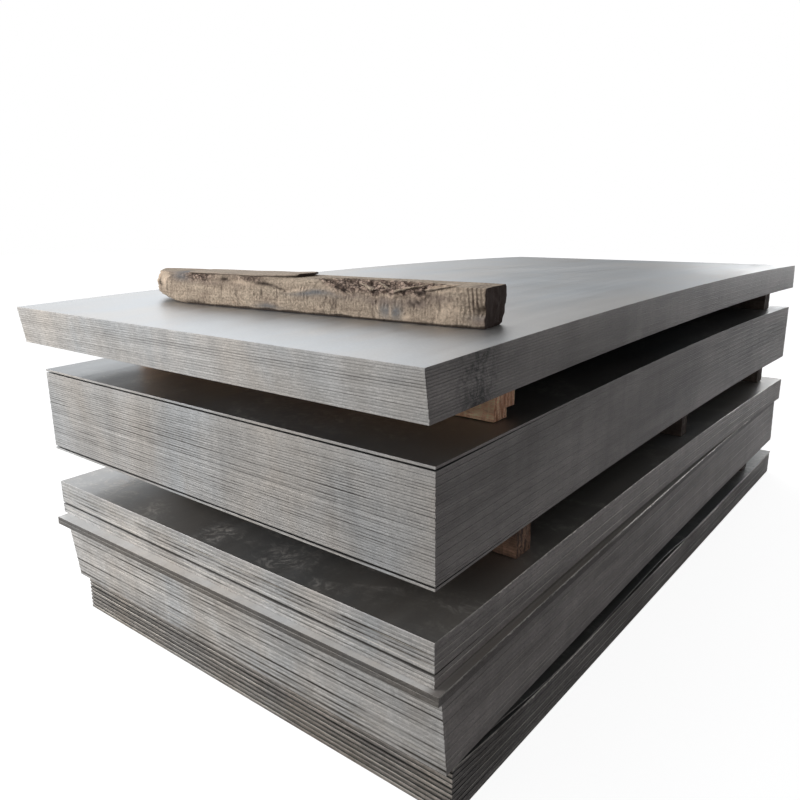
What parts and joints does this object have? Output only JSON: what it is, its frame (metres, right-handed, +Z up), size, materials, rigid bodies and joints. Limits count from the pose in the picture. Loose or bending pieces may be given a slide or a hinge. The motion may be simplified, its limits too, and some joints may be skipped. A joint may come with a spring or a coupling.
{
  "type": "stack of steel plate",
  "caption": "Stack of large flat steel plates in packs of different thickness, kept apart by timbers laid across, with an old broken timber lying on top.",
  "frame": {"origin": "centre of the stack's outline on the floor", "axes": "+X along the plates' length, away from the end where the packs touch; +Y across their width; +Z up"},
  "size_m": [3.1732, 1.5464, 1.1648],
  "materials": {
    "mill_steel": "dull mill finish with fine dust",
    "dusty_steel": "dull mill finish, dusty",
    "dull_steel": "dirty and slightly brown",
    "sawn_timber": "rough sawn, dusty",
    "stained_timber": "rough sawn, stained dark",
    "weathered_timber": "old, split and crumbling"
  },
  "bodies": {
    "root": {"back_spacer": "sawn_timber", "bottom_pack_plates": "dull_steel", "bottom_spacer": "sawn_timber", "fourth_pack_plates": "dull_steel", "front_spacer": "sawn_timber", "loose_sheet": "dull_steel", "narrow_back_spacer": "sawn_timber", "narrow_front_spacer": "stained_timber", "narrow_middle_spacer": "sawn_timber", "old_timber": "weathered_timber", "second_pack_plates": "mill_steel", "shifted_pair_of_plates": "dull_steel", "third_pack_plates": "dusty_steel", "top_pack_plates": "mill_steel"}
  },
  "joints": []
}
